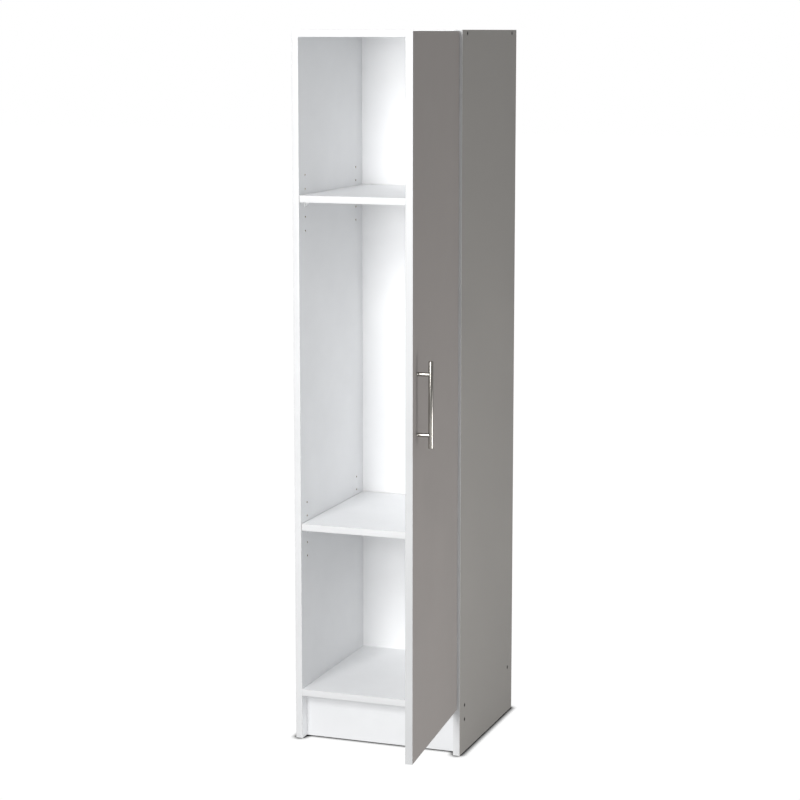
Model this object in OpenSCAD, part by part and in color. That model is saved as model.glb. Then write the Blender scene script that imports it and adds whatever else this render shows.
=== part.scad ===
// Tall locker cabinet with one hinged door and two adjustable shelves. Millimetres, +Z up.
// X runs to the right and Y to the back. The origin is on the floor, under the middle of the toe kick,
// which stands on the floor with the two sides. The door is drawn open, and that is the rest position.
//
// Two local frames are used. Both have their origin on the floor.
// In the carcass frame the front edges of the boards lie at front_y.
// In the hinge frame X is the distance from the inner face of the right side towards the left side,
// and Y is the distance in front of the carcass. The door and the hinges are drawn there, as if closed.

/* [Carcass] */
// Width over the two sides
body_w = 406; // [320:1:600]
// Depth from the front edges of the sides to the rear of the back panel
body_d = 406; // [320:1:520]
// Height of the sides
body_h = 1651; // [1350:1:2100]
// Thickness of every board
panel_t = 16; // [16:0.1:19.5]
// Thickness of the back panel
back_t = 3; // [2.5:0.5:5]
// Height of the toe space
kick_h = 103; // [80:1:150]
// Distance from the front edges of the sides to the toe kick
kick_setback = 28; // [10:1:60]
// Thickness of the edge bands
band_t = 0.5; // [0.4:0.1:1]
// Thickness of the laminate on the outer faces
skin_t = 0.6; // [0.4:0.1:1]

/* [Shelves] */
// Clear height above the upper adjustable shelf
upper_room = 356; // [280:1:420]
// Clear height between the bottom panel and the lower adjustable shelf
lower_room = 381; // [300:1:460]
// Distance from the carcass front to the front edge of a shelf
shelf_setback = 1; // [0:0.5:10]
// Gap between a shelf and each side
shelf_gap = 0.8; // [0.5:0.1:2]
// Spacing of the shelf holes
pin_pitch = 32; // [25:1:40]
// Diameter of the shelf holes
pin_bore = 5; // [4:0.5:7]
// Depth of the shelf holes
pin_bore_depth = 11; // [8:0.5:13]
// Distance from the carcass front to the front column of shelf holes
pin_front = 38; // [30:1:60]
// Distance from the back panel to the rear column of shelf holes
pin_rear = 43; // [30:1:80]

/* [Door] */
// Gap between the closed door and the carcass
door_gap = 2.6; // [2:0.1:4]
// Overlap of the closed door on the right side, which the hinges give
door_overlay = 14.5; // [12:0.5:14.5]
// Distance from the outer face of the left side to the free edge of the closed door
door_reveal = 1.5; // [1:0.5:3]
// Height of the lower edge of the door above the underside of the bottom panel
door_rise = 7; // [2:1:14]
// Distance from the top of the cabinet to the upper edge of the door
door_drop = 2.5; // [1:0.5:6]
// Angle of the open door at rest
open_angle = 95; // [80:1:95]

/* [Handle] */
// Spacing of the two posts
handle_spacing = 128; // [96:1:192]
// Length of the bar
handle_length = 184; // [150:1:260]
// Diameter of the bar
bar_d = 10; // [8:1:14]
// Diameter of the posts
post_d = 8.6; // [6:0.2:12]
// Distance from the door face to the middle of the bar
handle_reach = 30; // [24:1:45]
// Distance from the free edge of the door to the posts
handle_inset = 34; // [25:1:60]

/* [Hinges] */
// Distance from each end of the door to its outer hinge
hinge_end = 100; // [80:1:160]
// Diameter of the hinge cups
cup_d = 35; // [35:0.1:35.4]
// Depth of the hinge cups
cup_depth = 12.5; // [12:0.1:13]
// Wall of the hinge cups
cup_wall = 0.7; // [0.5:0.1:1]
// Diameter of the hinge pins
hinge_pin_d = 2.2; // [2:0.1:2.4]
// Distance from the carcass front to the screws of the hinge plates
plate_front = 37; // [37:1:45]

/* [Hidden] */

// Colours
shell_grey = [0.47, 0.46, 0.45];
shell_white = [0.93, 0.93, 0.93];
steel = [0.72, 0.72, 0.73];
nickel = [0.66, 0.65, 0.63];
clear_plastic = [0.85, 0.85, 0.83];

$fn = 48;
eps = 0.01;
// Radial clearance of a pin or a screw in its bore
fit = 0.05;
// Length by which a cutter runs past the face that it cuts
over = 1;

// Carcass frame
side_x = body_w / 2;
inner_x = side_x - panel_t;
front_y = -(kick_setback + panel_t / 2);
back_y = front_y + body_d - back_t;
top_z = body_h - panel_t;
middle_shelf_z = kick_h + panel_t + lower_room;
upper_shelf_z = top_z - upper_room - panel_t;
board_front_y = front_y + band_t;

// Countersunk assembly screws: shank and head diameters, length, and how deep the head's cone is
screw_d = 5;
screw_head_d = 9.4;
screw_length = 48;
screw_cone = 2.6;
screw_socket = 4.4;
screw_socket_depth = 2;
screw_inset = 36;
screw_rear_inset = 38;
// Where they go through a side: distance behind the carcass front, and height
side_screws = [
    [screw_inset, kick_h + panel_t / 2],
    [kick_setback + panel_t / 2, kick_h * 0.75],
    [body_d - screw_rear_inset, kick_h + panel_t / 2],
    [screw_inset, body_h - panel_t / 2],
    [body_d - screw_rear_inset, body_h - panel_t / 2]
];

// Shelf holes, in groups with the used hole in the middle, which lies pin_above below its shelf
pin_above = 3.5;
pin_rows = [-2, -1, 0, 1, 2];
shelf_levels = [middle_shelf_z, upper_shelf_z];
pin_columns = [front_y + pin_front, back_y - pin_rear];
shelf_rear_gap = 3;
shelf_back_y = back_y - shelf_rear_gap;
shelf_half_w = inner_x - shelf_gap;

// Shelf supports
support_w = 12;
support_plate_t = 1.6;
support_ledge = 13;
support_ledge_t = 2.2;
support_drop = 12;
support_web_t = 2;
support_web_reach = 11;
support_web_drop = 9;

// Back panel nails
nail_d = 1.6;
nail_head_d = 5;
nail_length = 18;
nail_head_t = 0.8;
back_inset = 1.5;
back_half_w = side_x - back_inset;
nail_end_inset = 40;
back_bottom = kick_h + back_inset;
back_top = body_h - back_inset;
nail_side_count = 8;
nails_on_sides = [
    for (side = [-1, 1], i = [0 : nail_side_count - 1])
        [side * (side_x - panel_t / 2),
         back_bottom + nail_end_inset
             + i * (back_top - back_bottom - 2 * nail_end_inset) / (nail_side_count - 1)]
];
nails_on_boards = [
    for (x = [-1, 1] * inner_x / 3, z = [kick_h, top_z] + [1, 1] * panel_t / 2) [x, z]
];
nails = concat(nails_on_sides, nails_on_boards);

// Wall bracket under the top panel
bracket_w = 50;
bracket_leg = 38;
bracket_t = 2;
wall_bore = 7;
wall_bore_z = top_z - 24;
bracket_screw_d = 4;
bracket_screw_x = 15;
bracket_screw_inset = 24;
bracket_screw_grip = 11;
bracket_screw_head_d = 7.5;
bracket_screw_head_t = 2;

// Door, in the hinge frame: its hinge edge, free edge and faces when closed
door_u0 = -door_overlay;
door_u1 = body_w - panel_t - door_reveal;
door_v0 = door_gap;
door_v1 = door_gap + panel_t;
door_z0 = kick_h + door_rise;
door_z1 = body_h - door_drop;
door_mid_z = (door_z0 + door_z1) / 2;
hinge_levels = [door_z0 + hinge_end, door_mid_z, door_z1 - hinge_end];

// Hinge pivots in the hinge frame with the door closed. The outer link turns on the arm at OUTER_ARM
// and carries the door at OUTER_CUP. The inner link turns on the cup at INNER_CUP, and its other eye,
// which is open by link_play, runs around the pin at INNER_ARM.
OUTER_ARM = [17, -12];
OUTER_CUP = [-6, 5.1];
OUTER_ELBOW = [-0.4, 4.8];
INNER_ARM = [11.7, 8.2];
INNER_CUP = [-3.1, 7.8];
INNER_ELBOW = [-1.8, 12];
INNER_EYE = [11.4, 7.4];
link_play = 1;
// Turn of each link for every degree that the door turns
outer_link_rate = -0.24;
inner_link_rate = -0.332;

// Half heights of the layers of a hinge, from its middle plane outwards
inner_link_half = 3;
outer_link_from = 3.4;
outer_link_to = 4.6;
arm_wall_from = 5;
arm_wall_to = 6.4;
cheek_from = 6.9;
cheek_to = 8.3;
link_half_w = 0.9;
link_elbow_r = 1.2;
link_eye_r = 2.1;
open_eye_r = 2.9;
arm_eye_r = 3;

// Hinge cup in the hinge frame: its middle, its flange and its screws
cup_u = 7;
cup_r = cup_d / 2 - fit;
cup_inner_r = cup_r - cup_wall;
cheek_inset = 0.4;
cup_flange_t = 0.9;
cup_flange_d = 38;
cup_wing_from = 2;
cup_wing_to = 16;
cup_wing_half_h = 28;
cup_flange_shift = 5;
cup_flange_cut = 6;
cup_screw_u = cup_u + 9.5;
cup_screw_z = 22.5;
cup_screw_d = 3.6;
cup_screw_grip = 10;
cup_screw_head_d = 7;
cup_screw_head_t = 1.2;

// Hinge plate on the side, with a rail that the arm sits on
plate_t = 2;
plate_half_h = 24;
plate_half_w = 9;
plate_screw_z = 16;
plate_screw_d = 4.6;
plate_screw_grip = 11;
plate_screw_head_d = 8;
plate_screw_head_t = 1.6;
rail_from = -62;
rail_to = -24;
rail_play = 0.2;
rail_top = 8.6;

// Hinge arm: a channel on the rail, whose walls reach forward to the two arm pins
arm_back = -66;
arm_t = 1.4;
arm_top = rail_top + arm_t;
arm_fixing_v = -56;
arm_adjuster_v = -36;
arm_screw_d = 5;
arm_screw_from = 2.5;
arm_screw_head_d = 8;
arm_screw_head_t = 2;
arm_screw_slot_w = 1;
arm_screw_slot_l = 6;
ARM_WALL = [
    [3, arm_back], [arm_top, arm_back], [arm_top, -31], [19.6, -18], [19.6, -9.6],
    [14.5, 8.2], [8.8, 8.2], [7.4, -6], [7.4, -20], [3, -24]
];
ARM_WEB = [
    [rail_top, arm_back], [arm_top, arm_back], [arm_top, -31], [19.6, -18], [18.2, -17.6],
    [rail_top, -30.6]
];

// Handle, in the hinge frame
handle_u = door_u1 - handle_inset;
bar_v = door_v1 + handle_reach;
spigot_d = 5;
handle_screw_d = 4;
handle_screw_grip = 12;
handle_screw_head_d = 8;
handle_screw_head_t = 2.2;
handle_screw_slot_w = 1;
handle_screw_slot_t = 0.8;

// Door bumpers: distance from the free edge and from the ends of the door
bumper_inset = 7;
bumper_end_inset = 21;
bumper_d = 8;
bumper_t = door_gap * 0.75;

// Copies its child to both shelf hole columns of one side, turned so that +X points into the board
module at_pins(side, level) {
    for (y = pin_columns)
        translate([side * inner_x, y, level - pin_above])
            mirror([side < 0 ? 1 : 0, 0, 0]) children();
}

// A box given by two opposite corners
module block(from, to) {
    translate(from) cube(to - from);
}

// A cylinder along X
module rod_x(d, from, to) {
    translate([from, 0, 0]) rotate([0, 90, 0]) cylinder(d = d, h = to - from);
}

// A cylinder along Y
module rod_y(d, from, to) {
    translate([0, to, 0]) rotate([90, 0, 0]) cylinder(d = d, h = to - from);
}

// The bore and the countersink of an assembly screw, along -X from a side's outer face
module screw_bore() {
    rod_x(screw_d + 2 * fit, -screw_length - over, over);
    rotate([0, -90, 0])
        cylinder(d1 = screw_head_d + 2 * fit, d2 = screw_d + 2 * fit, h = screw_cone + fit);
    rod_x(screw_head_d + 2 * fit, 0, over);
}

// An assembly screw with a hexagonal socket, along -X from a side's outer face
module screw_body() {
    difference() {
        union() {
            rod_x(screw_d, -screw_length, -screw_cone);
            rotate([0, -90, 0]) cylinder(d1 = screw_head_d, d2 = screw_d, h = screw_cone);
        }
        rotate([0, -90, 0]) translate([0, 0, -over])
            cylinder(d = screw_socket, h = screw_socket_depth + over, $fn = 6);
    }
}

// Copies its child to every assembly screw of the right side
module at_side_screws() {
    for (place = side_screws)
        translate([side_x, front_y + place[0], place[1]]) children();
}

// Mirrors its child to the left half of the cabinet
module left_half() {
    mirror([1, 0, 0]) children();
}

// Copies its child to every nail, on the outer face of the back panel
module at_nails() {
    for (place = nails)
        translate([place[0], back_y + back_t, place[1]]) children();
}

// What is cut from every board that the nails and the assembly screws enter
module fastener_bores() {
    at_side_screws() screw_bore();
    left_half() at_side_screws() screw_bore();
    at_nails() rod_y(nail_d + 2 * fit, -nail_length - over, over);
}

// Shelf holes of the right side
module shelf_bores() {
    for (level = shelf_levels, row = pin_rows)
        at_pins(1, level) translate([0, 0, row * pin_pitch]) rod_x(pin_bore, -over, pin_bore_depth);
}

// Right side with all its bores, without the laminate and the edge band
module side_board() {
    difference() {
        block([inner_x, board_front_y, 0], [side_x - skin_t, back_y, body_h]);
        fastener_bores();
        shelf_bores();
    }
}

// Laminate on the outer face of the right side
module side_laminate() {
    difference() {
        block([side_x - skin_t, board_front_y, 0], [side_x, back_y, body_h]);
        at_side_screws() screw_bore();
    }
}

// Band on the front edge of the right side
module side_band() {
    block([inner_x, front_y, 0], [side_x, board_front_y, body_h]);
}

module right_side_panel() {
    color(shell_white) difference() {
        side_board();
        at_hinges() plate_bores();
    }
}

module right_side_laminate() { color(shell_grey) side_laminate(); }
module right_side_edge_band() { color(shell_white) side_band(); }
module left_side_panel() { color(shell_white) left_half() side_board(); }
module left_side_laminate() { color(shell_grey) left_half() side_laminate(); }
module left_side_edge_band() { color(shell_white) left_half() side_band(); }

// A board between the two sides, from front to back, with its underside at z
module cross_board(z) {
    block([-inner_x, board_front_y, z], [inner_x, back_y, z + panel_t]);
}

// The band on the front edge of such a board
module cross_band(z) {
    block([-inner_x, front_y, z], [inner_x, board_front_y, z + panel_t]);
}

module top_panel() {
    color(shell_white) difference() {
        cross_board(top_z);
        fastener_bores();
        bracket_screw_places() cylinder(d = bracket_screw_d + 2 * fit, h = bracket_screw_grip + over);
    }
}

module bottom_panel() {
    color(shell_white) difference() {
        cross_board(kick_h);
        fastener_bores();
    }
}

module top_edge_band() { color(shell_white) cross_band(top_z); }
module bottom_edge_band() { color(shell_white) cross_band(kick_h); }

module toe_kick() {
    color(shell_white) difference() {
        block([-inner_x, -panel_t / 2, 0], [inner_x, panel_t / 2, kick_h]);
        fastener_bores();
    }
}

module back_panel() {
    color(shell_white) difference() {
        block([-back_half_w, back_y, back_bottom], [back_half_w, back_y + back_t, back_top]);
        at_nails() rod_y(nail_d + 2 * fit, -back_t - over, over);
        wall_hole();
    }
}

module back_nails() {
    color(steel) at_nails() {
        rod_y(nail_d, -nail_length, 0);
        rod_y(nail_head_d, 0, nail_head_t);
    }
}

module right_assembly_screws() { color(steel) at_side_screws() screw_body(); }
module left_assembly_screws() { color(steel) left_half() at_side_screws() screw_body(); }

// Copies its child to the two bracket screws, on the underside of the top panel
module bracket_screw_places() {
    for (x = [-1, 1] * bracket_screw_x)
        translate([x, back_y - bracket_screw_inset, top_z]) children();
}

// Hole for the wall screw
module wall_hole() {
    translate([0, back_y, wall_bore_z]) rod_y(wall_bore, -bracket_t - over, back_t + over);
}

module wall_bracket() {
    color(steel) difference() {
        union() {
            block([-bracket_w / 2, back_y - bracket_leg, top_z - bracket_t],
                  [bracket_w / 2, back_y, top_z]);
            block([-bracket_w / 2, back_y - bracket_t, top_z - bracket_leg],
                  [bracket_w / 2, back_y, top_z]);
        }
        bracket_screw_places() translate([0, 0, -bracket_t - over])
            cylinder(d = bracket_screw_d + 2 * fit, h = bracket_t + 2 * over);
        wall_hole();
    }
}

module wall_bracket_screws() {
    color(steel) bracket_screw_places() {
        translate([0, 0, -bracket_t]) cylinder(d = bracket_screw_d, h = bracket_t + bracket_screw_grip);
        translate([0, 0, -bracket_t - bracket_screw_head_t])
            cylinder(d = bracket_screw_head_d, h = bracket_screw_head_t);
    }
}

// A shelf support: a pin, a plate on the side and a ledge under the shelf, with a web between them
module support() {
    rod_x(pin_bore - 2 * fit, 0, pin_bore_depth - 1);
    translate([0, support_w / 2, pin_above]) rotate([90, 0, 0]) linear_extrude(support_w)
        polygon([[0, 0], [-support_ledge, 0], [-support_ledge, -support_ledge_t],
                 [-support_plate_t, -support_ledge_t], [-support_plate_t, -support_drop],
                 [0, -support_drop]]);
    translate([0, support_web_t / 2, pin_above - support_ledge_t + eps]) rotate([90, 0, 0])
        linear_extrude(support_web_t)
            polygon([[-support_plate_t + eps, 0], [-support_web_reach, 0],
                     [-support_plate_t + eps, -support_web_drop]]);
}

module supports(level) {
    color(shell_white) for (side = [-1, 1]) at_pins(side, level) support();
}

module upper_shelf_supports() { supports(upper_shelf_z); }
module middle_shelf_supports() { supports(middle_shelf_z); }

// An adjustable shelf without its band
module shelf_board(z) {
    board_front = front_y + shelf_setback + band_t;
    color(shell_white)
        block([-shelf_half_w, board_front, z], [shelf_half_w, shelf_back_y, z + panel_t]);
}

// The band on the front edge of a shelf
module shelf_band(z) {
    band_front = front_y + shelf_setback;
    color(shell_white)
        block([-shelf_half_w, band_front, z], [shelf_half_w, band_front + band_t, z + panel_t]);
}

module upper_shelf_panel() { shelf_board(upper_shelf_z); }
module upper_shelf_edge_band() { shelf_band(upper_shelf_z); }
module middle_shelf_panel() { shelf_board(middle_shelf_z); }
module middle_shelf_edge_band() { shelf_band(middle_shelf_z); }

// Moves its child from the hinge frame to the carcass frame
module from_hinge_frame() {
    translate([inner_x, front_y, 0]) rotate([0, 0, 180]) children();
}

// Turns its child, drawn with the door closed, about a pivot of the hinge frame
module turned(pivot, angle) {
    translate([pivot[0], pivot[1], 0]) rotate([0, 0, angle])
        translate([-pivot[0], -pivot[1], 0]) children();
}

// Swings its child with the outer link, and with the door, from closed to the open position of rest
module with_outer_link() {
    from_hinge_frame() turned(OUTER_ARM, outer_link_rate * open_angle) children();
}

module with_door() {
    with_outer_link() turned(OUTER_CUP, (1 - outer_link_rate) * open_angle) children();
}

module with_inner_link() {
    with_door() turned(INNER_CUP, (inner_link_rate - 1) * open_angle) children();
}

// Copies its child to the three hinges
module at_each_hinge() {
    for (level = hinge_levels)
        translate([0, 0, level]) children();
}

// Copies its child to the three hinges, in the carcass frame
module at_hinges() {
    from_hinge_frame() at_each_hinge() children();
}

// Extrudes a plane shape of the hinge frame between two heights, and the same below the middle plane
module layer(from, to) {
    for (flip = [0, 1])
        mirror([0, 0, flip]) translate([0, 0, from]) linear_extrude(to - from) children();
}

// A straight bar in the plane, from one point to another, of half width w
module bar_2d(from, to, w) {
    run = to - from;
    translate(from) rotate(atan2(run[1], run[0])) translate([0, -w]) square([norm(run), 2 * w]);
}

// Outline of a link: two eyes, and a bent bar between them
module link_2d(from, elbow, to, from_r, to_r) {
    bar_2d(from, elbow, link_half_w);
    bar_2d(elbow, to, link_half_w);
    translate(elbow) circle(r = link_elbow_r);
    translate(from) circle(r = from_r);
    translate(to) circle(r = to_r);
}

// A hinge pin, or its bore, in the middle of one hinge
module pin(place, d, half_length) {
    translate([place[0], place[1], -half_length]) cylinder(d = d, h = 2 * half_length);
}

module plate_bores() {
    for (z = [-1, 1] * plate_screw_z)
        translate([0, -plate_front, z])
            rod_x(plate_screw_d + 2 * fit, -plate_screw_grip - over, plate_t + over);
}

module hinge_plates() {
    color(steel) at_hinges() difference() {
        union() {
            block([0, -plate_front - plate_half_w, -plate_half_h],
                  [plate_t, -plate_front + plate_half_w, plate_half_h]);
            block([0, rail_from, -arm_wall_from + rail_play],
                  [rail_top, rail_to, arm_wall_from - rail_play]);
        }
        plate_bores();
        for (v = [arm_fixing_v, arm_adjuster_v])
            translate([0, v, 0]) rod_x(arm_screw_d + 2 * fit, plate_t, rail_top + over);
    }
}

module hinge_plate_screws() {
    color(steel) at_hinges()
        for (z = [-1, 1] * plate_screw_z)
            translate([0, -plate_front, z]) {
                rod_x(plate_screw_d, -plate_screw_grip, plate_t);
                rod_x(plate_screw_head_d, plate_t, plate_t + plate_screw_head_t);
            }
}

module hinge_arms() {
    color(steel) at_hinges() difference() {
        union() {
            layer(arm_wall_from, arm_wall_to) {
                polygon(ARM_WALL);
                translate(INNER_ARM) circle(r = arm_eye_r);
                translate(OUTER_ARM) circle(r = arm_eye_r);
            }
            translate([0, 0, -arm_wall_to]) linear_extrude(2 * arm_wall_to) polygon(ARM_WEB);
        }
        pin(INNER_ARM, hinge_pin_d + 2 * fit, arm_wall_to + over);
        pin(OUTER_ARM, hinge_pin_d + 2 * fit, arm_wall_to + over);
        for (v = [arm_fixing_v, arm_adjuster_v])
            translate([0, v, 0]) rod_x(arm_screw_d + 2 * fit, rail_top - over, arm_top + over);
    }
}

// One slot of the cross in the head of an arm screw
module arm_screw_slot() {
    head_top = arm_top + arm_screw_head_t;
    block([head_top - arm_screw_head_t / 2, -arm_screw_slot_l / 2, -arm_screw_slot_w / 2],
          [head_top + over, arm_screw_slot_l / 2, arm_screw_slot_w / 2]);
}

module hinge_arm_screws() {
    color(steel) at_hinges()
        for (v = [arm_fixing_v, arm_adjuster_v])
            translate([0, v, 0]) difference() {
                union() {
                    rod_x(arm_screw_d, arm_screw_from, arm_top);
                    rod_x(arm_screw_head_d, arm_top, arm_top + arm_screw_head_t);
                }
                for (turn = [0, 90])
                    rotate([turn, 0, 0]) arm_screw_slot();
            }
}

module hinge_arm_pins() {
    color(steel) at_hinges() {
        pin(INNER_ARM, hinge_pin_d, arm_wall_to);
        pin(OUTER_ARM, hinge_pin_d, arm_wall_to);
    }
}

module hinge_outer_links() {
    color(steel) with_outer_link() at_each_hinge() difference() {
        layer(outer_link_from, outer_link_to)
            link_2d(OUTER_ARM, OUTER_ELBOW, OUTER_CUP, link_eye_r, link_eye_r);
        pin(OUTER_ARM, hinge_pin_d + 2 * fit, outer_link_to + over);
        pin(OUTER_CUP, hinge_pin_d + 2 * fit, outer_link_to + over);
    }
}

module hinge_inner_links() {
    color(steel) with_inner_link() at_each_hinge() difference() {
        translate([0, 0, -inner_link_half]) linear_extrude(2 * inner_link_half)
            link_2d(INNER_EYE, INNER_ELBOW, INNER_CUP, open_eye_r, link_eye_r);
        pin(INNER_EYE, hinge_pin_d + 2 * link_play, inner_link_half + over);
        pin(INNER_CUP, hinge_pin_d + 2 * fit, inner_link_half + over);
    }
}

// The round shell of a cup, open towards the carcass
module cup_shell() {
    difference() {
        rod_y(2 * cup_r, door_v0, door_v0 + cup_depth);
        rod_y(2 * cup_inner_r, door_v0 - over, door_v0 + cup_depth - cup_wall);
    }
}

// The two cheeks inside a cup that hold its pins
module cup_cheeks() {
    intersection() {
        layer(cheek_from, cheek_to)
            translate([-cup_d / 2, door_v0 + cheek_inset])
                square([cup_d / 2, cup_depth - 2 * cheek_inset]);
        rod_y(cup_r + cup_inner_r, door_v0, door_v0 + cup_depth);
    }
}

// The flange of a cup on the door, with a wing above and below for its screws
module cup_flange() {
    difference() {
        union() {
            block([cup_wing_from, door_v0 - cup_flange_t, -cup_wing_half_h],
                  [cup_wing_to, door_v0, cup_wing_half_h]);
            translate([cup_flange_shift, 0, 0]) rod_y(cup_flange_d, door_v0 - cup_flange_t, door_v0);
        }
        rod_y(2 * cup_inner_r, door_v0 - over, door_v0 + over);
        block([-cup_flange_d, door_v0 - over, -cup_flange_d],
              [-cup_flange_cut, door_v0 + over, cup_flange_d]);
    }
}

module hinge_cups() {
    color(steel) with_door() at_each_hinge() difference() {
        translate([cup_u, 0, 0]) {
            cup_shell();
            cup_cheeks();
            cup_flange();
        }
        cup_screw_bores();
        pin(OUTER_CUP, hinge_pin_d + 2 * fit, cheek_to + over);
        pin(INNER_CUP, hinge_pin_d + 2 * fit, cheek_to + over);
    }
}

module cup_screw_bores() {
    for (z = [-1, 1] * cup_screw_z)
        translate([cup_screw_u, 0, z])
            rod_y(cup_screw_d + 2 * fit, door_v0 - cup_flange_t - over, door_v0 + cup_screw_grip + over);
}

module hinge_cup_pins() {
    color(steel) with_door() at_each_hinge() {
        pin(OUTER_CUP, hinge_pin_d, cheek_to);
        pin(INNER_CUP, hinge_pin_d, cheek_to);
    }
}

module hinge_cup_screws() {
    color(steel) with_door() at_each_hinge()
        for (z = [-1, 1] * cup_screw_z)
            translate([cup_screw_u, 0, z]) {
                rod_y(cup_screw_d, door_v0 - cup_flange_t, door_v0 + cup_screw_grip);
                translate([0, door_v0 - cup_flange_t, 0])
                    rod_y(cup_screw_head_d, -cup_screw_head_t, 0);
            }
}

// Copies its child to the two posts of the handle, in the hinge frame
module at_posts() {
    for (side = [-1, 1])
        translate([handle_u, 0, door_mid_z + side * handle_spacing / 2]) children();
}

module handle_bores() {
    at_posts() rod_y(handle_screw_d + 2 * fit, door_v0 - over, door_v1 + over);
}

module door_panel() {
    color(shell_white) with_door() difference() {
        block([door_u0 + band_t, door_v0, door_z0 + band_t],
              [door_u1 - band_t, door_v1 - skin_t, door_z1 - band_t]);
        at_each_hinge() {
            translate([cup_u, 0, 0]) rod_y(cup_d, door_v0 - over, door_v0 + cup_depth + fit);
            cup_screw_bores();
        }
        handle_bores();
    }
}

module door_face_laminate() {
    color(shell_grey) with_door() difference() {
        block([door_u0 + band_t, door_v1 - skin_t, door_z0 + band_t],
              [door_u1 - band_t, door_v1, door_z1 - band_t]);
        handle_bores();
    }
}

module door_edge_band() {
    color(shell_white) with_door() difference() {
        block([door_u0, door_v0, door_z0], [door_u1, door_v1, door_z1]);
        block([door_u0 + band_t, door_v0 - over, door_z0 + band_t],
              [door_u1 - band_t, door_v1 + over, door_z1 - band_t]);
    }
}

module door_bumpers() {
    color(clear_plastic) with_door()
        for (z = [door_z0 + bumper_end_inset, door_z1 - bumper_end_inset])
            translate([door_u1 - bumper_inset, 0, z]) rod_y(bumper_d, door_v0 - bumper_t, door_v0);
}

module handle_bar() {
    color(nickel) with_door() difference() {
        translate([handle_u, bar_v, door_mid_z - handle_length / 2])
            cylinder(d = bar_d, h = handle_length);
        at_posts() rod_y(spigot_d + 2 * fit, bar_v - bar_d, bar_v);
    }
}

module handle_posts() {
    color(nickel) with_door() difference() {
        at_posts() {
            difference() {
                rod_y(post_d, door_v1, bar_v);
                translate([0, bar_v, -post_d]) cylinder(d = bar_d + 2 * fit, h = 2 * post_d);
            }
            rod_y(spigot_d, bar_v - bar_d, bar_v - 2 * fit);
        }
        at_posts() rod_y(handle_screw_d + 2 * fit, door_v1 - over, door_v1 + handle_screw_grip + over);
    }
}

module handle_screws() {
    color(steel) with_door() at_posts() {
        rod_y(handle_screw_d, door_v0 - eps, door_v1 + handle_screw_grip);
        difference() {
            rod_y(handle_screw_head_d, door_v0 - handle_screw_head_t, door_v0);
            block([-handle_screw_slot_w / 2, door_v0 - handle_screw_head_t - over, -handle_screw_head_d],
                  [handle_screw_slot_w / 2, door_v0 - handle_screw_head_t + handle_screw_slot_t,
                   handle_screw_head_d]);
        }
    }
}

right_side_panel();
right_side_laminate();
right_side_edge_band();
left_side_panel();
left_side_laminate();
left_side_edge_band();
top_panel();
top_edge_band();
bottom_panel();
bottom_edge_band();
toe_kick();
back_panel();
back_nails();
right_assembly_screws();
left_assembly_screws();
wall_bracket();
wall_bracket_screws();
upper_shelf_supports();
middle_shelf_supports();
upper_shelf_panel();
upper_shelf_edge_band();
middle_shelf_panel();
middle_shelf_edge_band();
hinge_plates();
hinge_plate_screws();
hinge_arms();
hinge_arm_screws();
hinge_arm_pins();
hinge_outer_links();
hinge_inner_links();
door_panel();
door_face_laminate();
door_edge_band();
door_bumpers();
hinge_cups();
hinge_cup_pins();
hinge_cup_screws();
handle_bar();
handle_posts();
handle_screws();
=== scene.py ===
import math
import bpy
import numpy as np
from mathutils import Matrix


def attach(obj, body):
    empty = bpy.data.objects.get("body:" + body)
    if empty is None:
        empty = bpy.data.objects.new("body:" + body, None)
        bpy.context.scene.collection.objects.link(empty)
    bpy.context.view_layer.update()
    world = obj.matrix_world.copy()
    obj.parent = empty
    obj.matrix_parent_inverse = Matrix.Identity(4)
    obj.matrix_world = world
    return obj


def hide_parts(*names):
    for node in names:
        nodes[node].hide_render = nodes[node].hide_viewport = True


# Looks of the tall locker cabinet: edge bands, handle, screw heads, nails and bumpers as worked-out
# surfaces, a material for every piece, and a plain studio. Metres, +Z up, X to the right, Y to the back.
# The door stands open. Its pieces are worked out as if it were closed, and turned by DOOR_TURN.

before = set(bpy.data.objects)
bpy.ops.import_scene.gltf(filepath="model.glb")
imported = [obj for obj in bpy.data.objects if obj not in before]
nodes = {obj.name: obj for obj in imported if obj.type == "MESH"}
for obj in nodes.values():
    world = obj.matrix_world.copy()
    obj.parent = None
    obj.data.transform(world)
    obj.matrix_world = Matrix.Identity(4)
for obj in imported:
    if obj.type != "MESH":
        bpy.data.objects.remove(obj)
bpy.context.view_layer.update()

MM = 0.001
DOOR_TURN = math.radians(95)
UP = (0.0, 0.0, 1.0)
RIGHT = (1.0, 0.0, 0.0)
BACK = (0.0, 1.0, 0.0)
FRONT = (0.0, -1.0, 0.0)
LEFT = (-1.0, 0.0, 0.0)
DOWN = (0.0, 0.0, -1.0)
AXIS_X, AXIS_Y, AXIS_Z = 0, 1, 2
ARC_STEPS = 6
SMOOTH_BELOW = math.radians(40)


# ---- Where things are ----

def turned(points, turn):
    """Points turned about the vertical axis: each one times the plane rotation by that angle."""
    c, s = math.cos(turn), math.sin(turn)
    return np.asarray(points) @ np.array([[c, s, 0.0], [-s, c, 0.0], [0.0, 0.0, 1.0]])


def node_points(name):
    """The points of a CAD node, as an array of rows."""
    mesh = nodes[name].data
    flat = np.empty(len(mesh.vertices) * 3, np.float32)
    mesh.vertices.foreach_get("co", flat)
    return flat.reshape(-1, 3).astype(float)


def own_box(name, turn=0.0):
    """Lowest and highest corners of a CAD node, along axes turned about the vertical by that angle."""
    points = turned(node_points(name), -turn)
    return points.min(axis=0), points.max(axis=0)


# ---- Surfaces ----

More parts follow.
